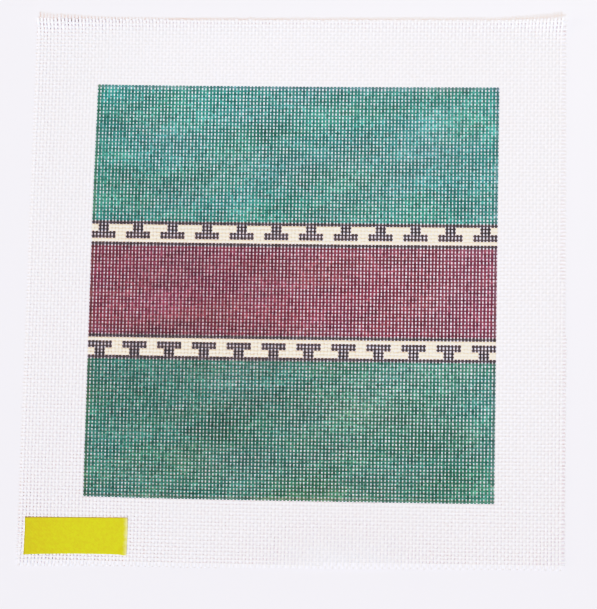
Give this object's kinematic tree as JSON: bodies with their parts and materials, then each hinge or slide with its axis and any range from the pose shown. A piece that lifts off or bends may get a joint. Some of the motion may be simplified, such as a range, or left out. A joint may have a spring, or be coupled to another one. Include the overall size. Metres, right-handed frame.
{
  "type": "needlepoint canvas",
  "caption": "Flat square of open mono canvas with raw cut edges, painted in bands with fretted borders for stitching, with a small paper label in one corner.",
  "frame": {"origin": "middle of the panel's box, at the table it lies on", "axes": "+X to the right along the wefts, +Y up the painted face, +Z out of the face, away from the table"},
  "size_m": [0.3042, 0.3096, 0.0038],
  "materials": {
    "canvas": "white open mono-weave cotton, sized and stiff, painted teal, burgundy, cream and black",
    "label": "matt yellow sticky paper"
  },
  "bodies": {
    "root": {"canvas": "canvas", "label": "label"}
  },
  "joints": []
}
